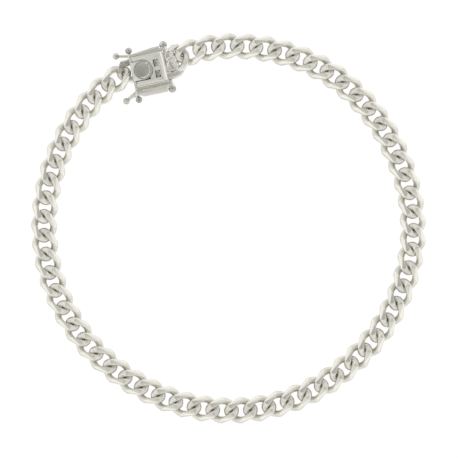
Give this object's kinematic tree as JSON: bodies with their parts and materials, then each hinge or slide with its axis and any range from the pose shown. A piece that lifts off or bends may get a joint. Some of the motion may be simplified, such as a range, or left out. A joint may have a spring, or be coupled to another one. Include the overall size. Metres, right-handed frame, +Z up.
{
  "type": "link bracelet",
  "caption": "Curb link bracelet closed by a box clasp with a round push button and a hinged safety latch on each side, lying flat as a ring.",
  "frame": {"origin": "middle of the bracelet's loop on the surface that it lies on", "axes": "+Z up from the surface; +X along the clasp from its tongue to its hinge, clockwise round the loop from above; +Y from the middle towards the clasp, away from the wrist"},
  "size_m": [0.0695, 0.0693, 0.0034],
  "materials": {
    "link_silver": "polished sterling silver with cut and burnished facets",
    "clasp_silver": "polished sterling silver, softly worn"
  },
  "bodies": {
    "bracelet": {"chain_right": "link_silver", "chain_left": "link_silver", "clasp_box": "clasp_silver", "hinge_pin": "clasp_silver", "clasp_tongue": "clasp_silver"},
    "button": {"push_button": "clasp_silver"},
    "outer_latch": {"latch_outer": "clasp_silver"},
    "inner_latch": {"latch_inner": "clasp_silver"}
  },
  "joints": [
    {"name": "button_press", "type": "hinge", "parent": "bracelet", "child": "button", "pos_m": [-0.00651, 0.03012, 0.00125], "axis": [0, -1, 0], "range_deg": [0, 5], "stiffness_Nm_per_rad": 0.01},
    {"name": "outer_latch_hinge", "type": "hinge", "parent": "bracelet", "child": "outer_latch", "pos_m": [-0.00463, 0.03309, 0.00118], "axis": [0, 1, 0], "range_deg": [0, 100]},
    {"name": "inner_latch_hinge", "type": "hinge", "parent": "bracelet", "child": "inner_latch", "pos_m": [-0.00463, 0.02663, 0.00118], "axis": [0, 1, 0], "range_deg": [0, 100]}
  ]
}
